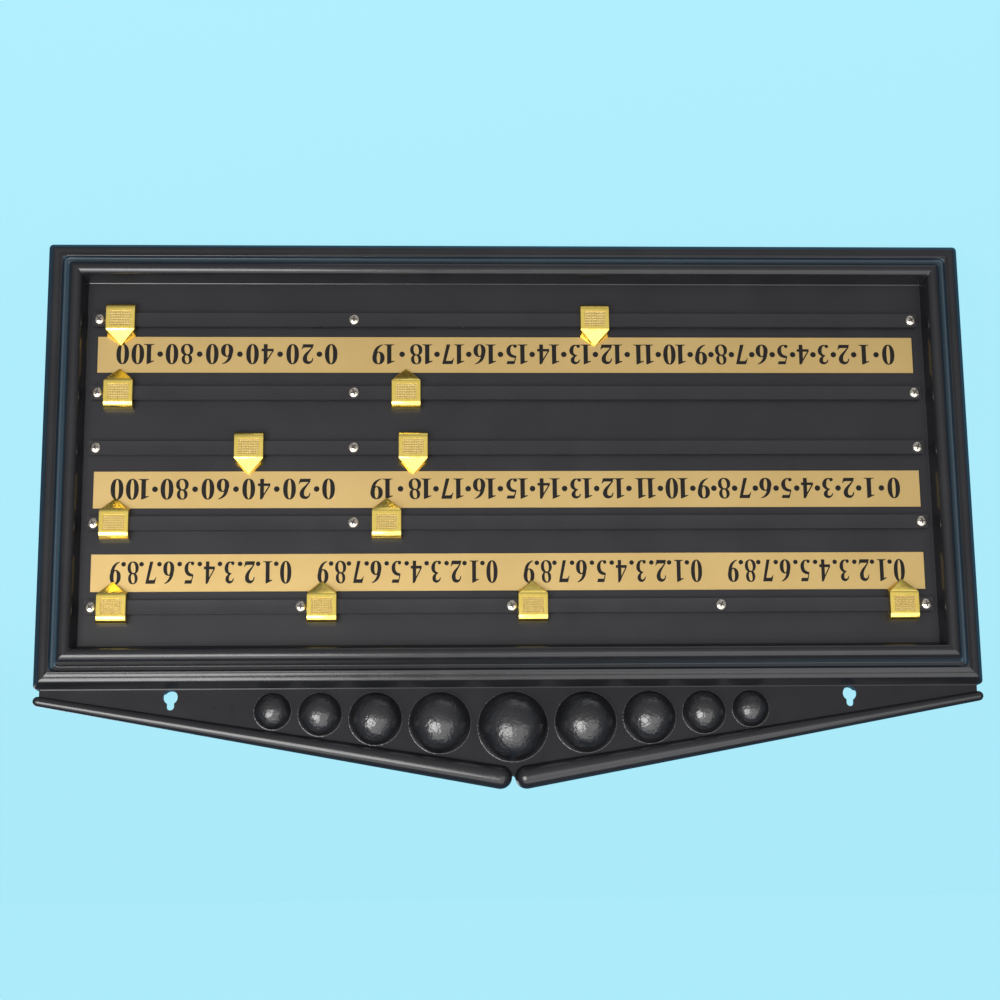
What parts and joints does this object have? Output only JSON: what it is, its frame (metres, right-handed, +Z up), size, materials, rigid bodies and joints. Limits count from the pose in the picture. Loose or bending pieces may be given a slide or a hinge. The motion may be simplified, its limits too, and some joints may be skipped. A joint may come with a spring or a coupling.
{
  "type": "snooker scoring board",
  "caption": "Wall-hung black plastic scoring board with a moulded frame, a low crest with half-ball domes, gold number strips and sliding gold pointers.",
  "frame": {"origin": "midway between the two keyholes' round entries, on the wall plane behind the board", "axes": "+Z up on the wall, -Y out of the board's face, +X to the reader's right"},
  "size_m": [0.5848, 0.0264, 0.3475],
  "materials": {
    "moulding_black": "black ABS, glossy on the frame and mouldings and satin on the flat panel and crest",
    "dome_black": "glossy black ABS",
    "rail_black": "satin black plastic",
    "strip_gold": "satin gold anodised strip with black printed numbers",
    "pointer_gold": "polished, gold plated",
    "screw_nickel": "nickel-plated steel"
  },
  "bodies": {
    "board": {"board_moulding": "moulding_black", "raking_moulding_left": "moulding_black", "raking_moulding_right": "moulding_black", "dome_1": "dome_black", "dome_2": "dome_black", "dome_3": "dome_black", "dome_4": "dome_black", "dome_5": "dome_black", "dome_6": "dome_black", "dome_7": "dome_black", "dome_8": "dome_black", "dome_9": "dome_black", "strip_1": "strip_gold", "strip_2": "strip_gold", "strip_3": "strip_gold", "rail_1": "rail_black", "rail_2": "rail_black", "rail_3": "rail_black", "rail_4": "rail_black", "rail_5": "rail_black", "rail_1_screws": "screw_nickel", "rail_2_screws": "screw_nickel", "rail_3_screws": "screw_nickel", "rail_4_screws": "screw_nickel", "rail_5_screws": "screw_nickel"},
    "pointer_1a": {"pointer_1a": "pointer_gold"},
    "pointer_1b": {"pointer_1b": "pointer_gold"},
    "pointer_1c": {"pointer_1c": "pointer_gold"},
    "pointer_1d": {"pointer_1d": "pointer_gold"},
    "pointer_2a": {"pointer_2a": "pointer_gold"},
    "pointer_2b": {"pointer_2b": "pointer_gold"},
    "pointer_3a": {"pointer_3a": "pointer_gold"},
    "pointer_3b": {"pointer_3b": "pointer_gold"},
    "pointer_4a": {"pointer_4a": "pointer_gold"},
    "pointer_4b": {"pointer_4b": "pointer_gold"},
    "pointer_5a": {"pointer_5a": "pointer_gold"},
    "pointer_5b": {"pointer_5b": "pointer_gold"}
  },
  "joints": [
    {"name": "pointer_1a_slide", "type": "slide", "parent": "board", "child": "pointer_1a", "axis": [1, 0, 0], "range_m": [-0.0016, 0.1017]},
    {"name": "pointer_1b_slide", "type": "slide", "parent": "board", "child": "pointer_1b", "axis": [1, 0, 0], "range_m": [-0.1043, 0.0005]},
    {"name": "pointer_1c_slide", "type": "slide", "parent": "board", "child": "pointer_1c", "axis": [1, 0, 0], "range_m": [-0.1045, 0.0003]},
    {"name": "pointer_1d_slide", "type": "slide", "parent": "board", "child": "pointer_1d", "axis": [1, 0, 0], "range_m": [-0.103, 0.0003]},
    {"name": "pointer_2a_slide", "type": "slide", "parent": "board", "child": "pointer_2a", "axis": [1, 0, 0], "range_m": [-0.3232, 0.0081]},
    {"name": "pointer_2b_slide", "type": "slide", "parent": "board", "child": "pointer_2b", "axis": [1, 0, 0], "range_m": [-0.1349, 0.0004]},
    {"name": "pointer_3a_slide", "type": "slide", "parent": "board", "child": "pointer_3a", "axis": [1, 0, 0], "range_m": [-0.3066, 0.0247]},
    {"name": "pointer_3b_slide", "type": "slide", "parent": "board", "child": "pointer_3b", "axis": [1, 0, 0], "range_m": [-0.0526, 0.0827]},
    {"name": "pointer_4a_slide", "type": "slide", "parent": "board", "child": "pointer_4a", "axis": [1, 0, 0], "range_m": [-0.311, 0.0203]},
    {"name": "pointer_4b_slide", "type": "slide", "parent": "board", "child": "pointer_4b", "axis": [1, 0, 0], "range_m": [-0.1346, 0.0007]},
    {"name": "pointer_5a_slide", "type": "slide", "parent": "board", "child": "pointer_5a", "axis": [1, 0, 0], "range_m": [-0.1909, 0.1404]},
    {"name": "pointer_5b_slide", "type": "slide", "parent": "board", "child": "pointer_5b", "axis": [1, 0, 0], "range_m": [-0.1344, 0.0009]}
  ]
}
